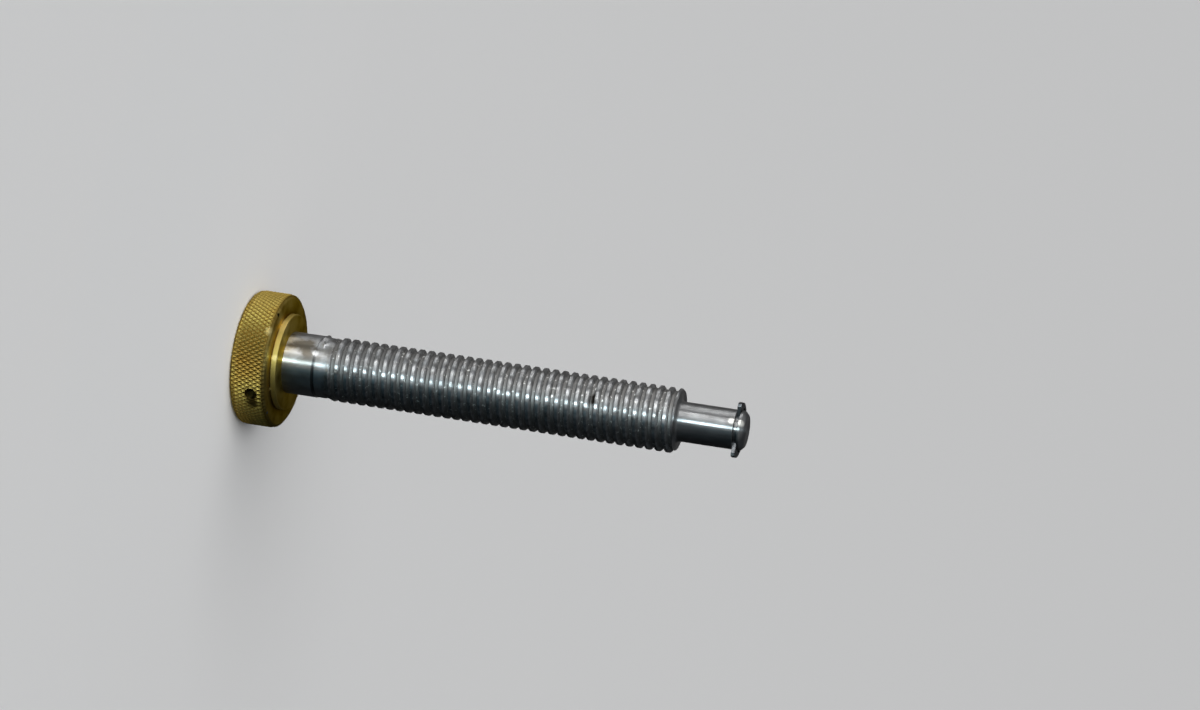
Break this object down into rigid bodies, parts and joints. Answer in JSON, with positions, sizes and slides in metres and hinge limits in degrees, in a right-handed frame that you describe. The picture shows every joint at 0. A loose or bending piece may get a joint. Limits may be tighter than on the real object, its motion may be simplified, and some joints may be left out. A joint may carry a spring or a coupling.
{
  "type": "thumb screw",
  "caption": "Knurled brass thumb knob fixed on a long steel screw that ends in a plain pivot held by a spring retaining clip, for feeding and turning a part by hand.",
  "frame": {"origin": "centre of the knob's outer face, on which the part stands", "axes": "+Z along the screw's axis from the knob to the pivot's tip; -Y is the side that the picture is taken from"},
  "size_m": [0.0268, 0.0268, 0.101],
  "materials": {
    "knob_brass": "turned and knurled, worn, with brown grime in the corners",
    "screw_steel": "turned and thread-cut, bright, with scuffs and nicks",
    "spring_steel": "stamped spring steel, dark and smooth",
    "dark_steel": "blackened, with an oily grime"
  },
  "bodies": {
    "root": {"knob": "knob_brass", "screw": "screw_steel", "retaining_clip": "spring_steel", "grub_screw": "dark_steel"}
  },
  "joints": []
}
